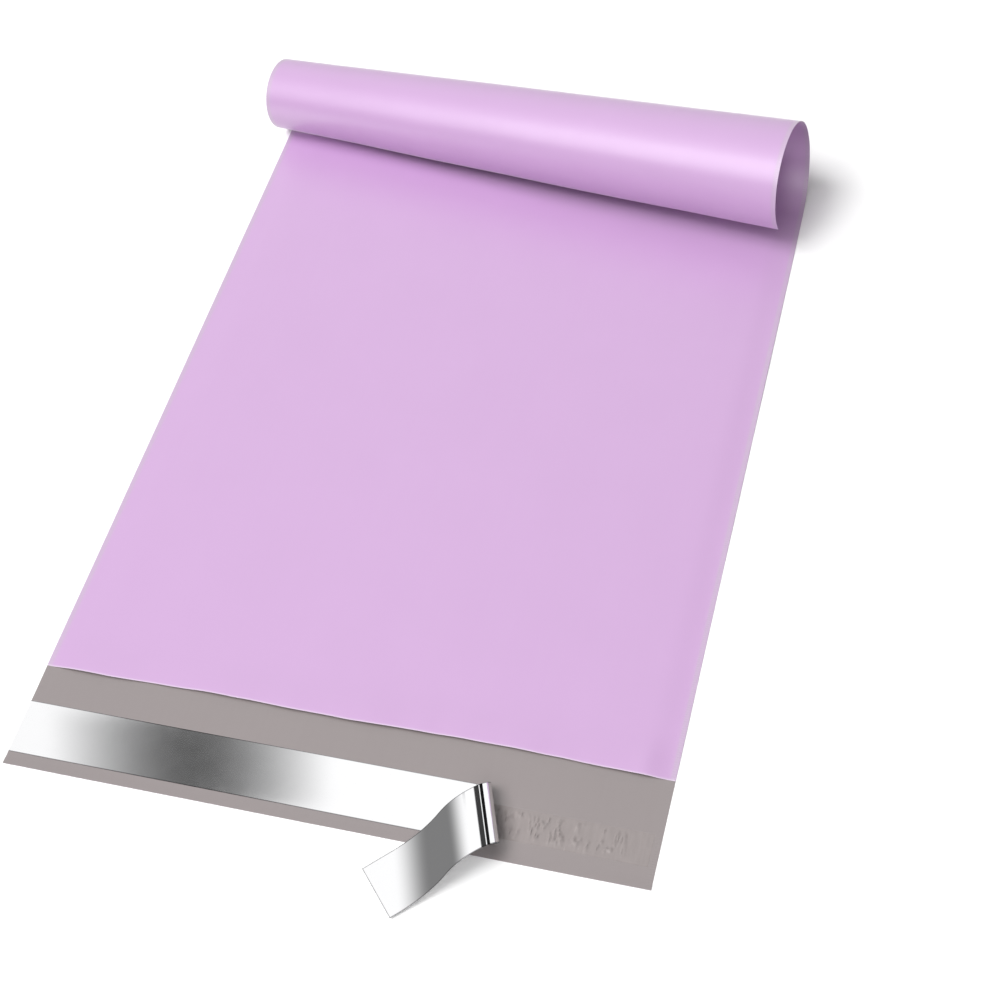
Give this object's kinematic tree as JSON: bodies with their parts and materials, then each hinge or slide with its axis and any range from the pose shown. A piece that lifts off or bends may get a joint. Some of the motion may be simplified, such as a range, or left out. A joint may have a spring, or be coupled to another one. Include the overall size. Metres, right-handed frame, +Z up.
{
  "type": "poly mailer bag",
  "caption": "Flat plastic film mailing bag with a sealing lip, an adhesive band under a half-peeled metallised liner, and its closed end curled up.",
  "frame": {"origin": "on the underside of the back ply, in the middle of the flat panel", "axes": "+X across the bag, +Y from the lip to the curled closed end, +Z up from the surface the bag lies on"},
  "size_m": [0.26, 0.4086, 0.0492],
  "materials": {
    "bag_film": "satin polyethylene film, lilac outside and grey inside",
    "adhesive": "clear tacky hot-melt over grey film",
    "liner_film": "metallised mirror film"
  },
  "bodies": {
    "root": {"bag_body": "bag_film", "adhesive_strip": "adhesive", "release_liner": "liner_film"}
  },
  "joints": []
}
